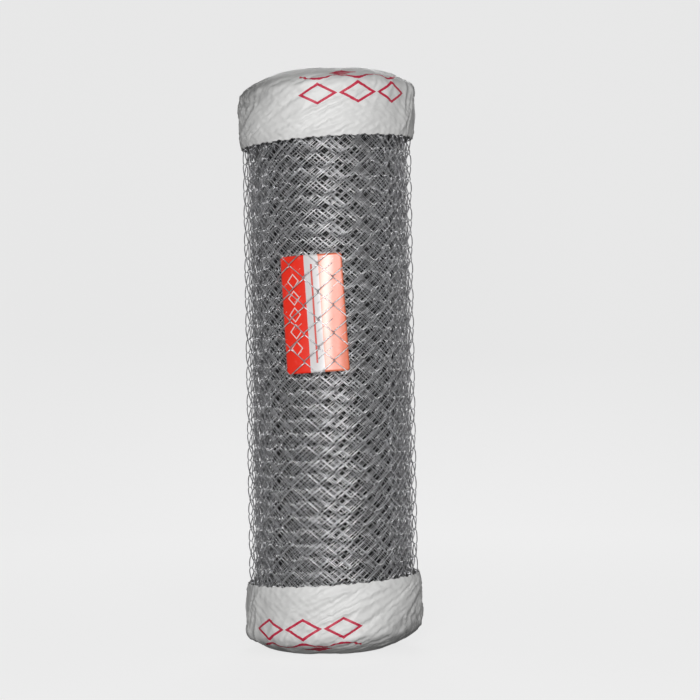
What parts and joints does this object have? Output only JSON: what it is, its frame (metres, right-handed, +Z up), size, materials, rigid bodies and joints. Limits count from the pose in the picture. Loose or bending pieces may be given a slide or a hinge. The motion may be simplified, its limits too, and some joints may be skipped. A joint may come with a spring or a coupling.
{
  "type": "chain link fence roll",
  "caption": "Upright roll of galvanised chain link fencing, with a sack pulled over each end and a card tucked under the outer wires.",
  "frame": {"origin": "middle of the footprint, on the ground under the lower sack", "axes": "+Z up along the roll, -Y towards the side with the card, +X to the right seen from that side"},
  "size_m": [0.454, 0.4564, 1.512],
  "materials": {
    "wire": "galvanised, dull",
    "inner_wire": "galvanised, in shade",
    "card": "glossy",
    "sack": "woven plastic cloth",
    "fold": "woven plastic cloth"
  },
  "bodies": {
    "root": {"wires_a": "wire", "wires_b": "wire", "wires_c": "wire", "wires_d": "wire", "wires_e": "wire", "wires_f": "wire", "wires_g": "wire", "wires_h": "wire", "wires_i": "wire", "wires_j": "wire", "wires_k": "wire", "wires_l": "wire", "turn_b": "inner_wire", "turn_c": "inner_wire", "turn_d": "inner_wire", "turn_e": "inner_wire", "inner_turns": "inner_wire", "card": "card", "top_sack": "sack", "bottom_sack": "sack", "top_folds": "fold", "bottom_folds": "fold"}
  },
  "joints": []
}
